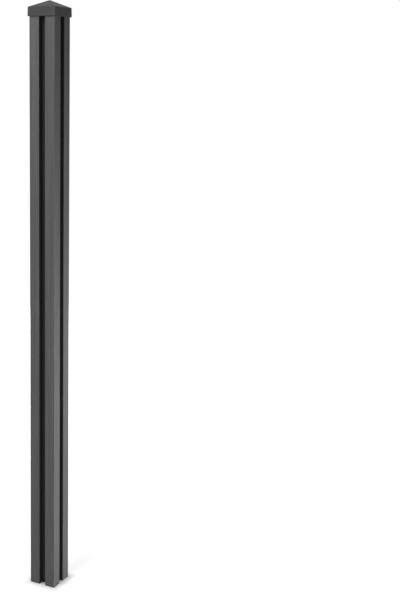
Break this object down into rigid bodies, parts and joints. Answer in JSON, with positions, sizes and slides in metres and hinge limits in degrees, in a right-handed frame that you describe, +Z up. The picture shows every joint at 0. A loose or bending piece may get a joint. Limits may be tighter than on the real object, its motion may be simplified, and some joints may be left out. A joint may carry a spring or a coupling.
{
  "type": "fence post",
  "caption": "Tall square hollow fence post with a board groove along each side and a low pyramid cap on top.",
  "frame": {"origin": "middle of the sawn foot, on the surface that the post stands on", "axes": "+Z up the post towards the cap, +X and +Y square to the grooved sides"},
  "size_m": [0.0982, 0.0982, 1.8749],
  "materials": {
    "composite": "brushed matt charcoal composite",
    "cap_plastic": "satin moulded charcoal plastic"
  },
  "bodies": {
    "root": {"post_profile": "composite", "post_cap": "cap_plastic"}
  },
  "joints": []
}
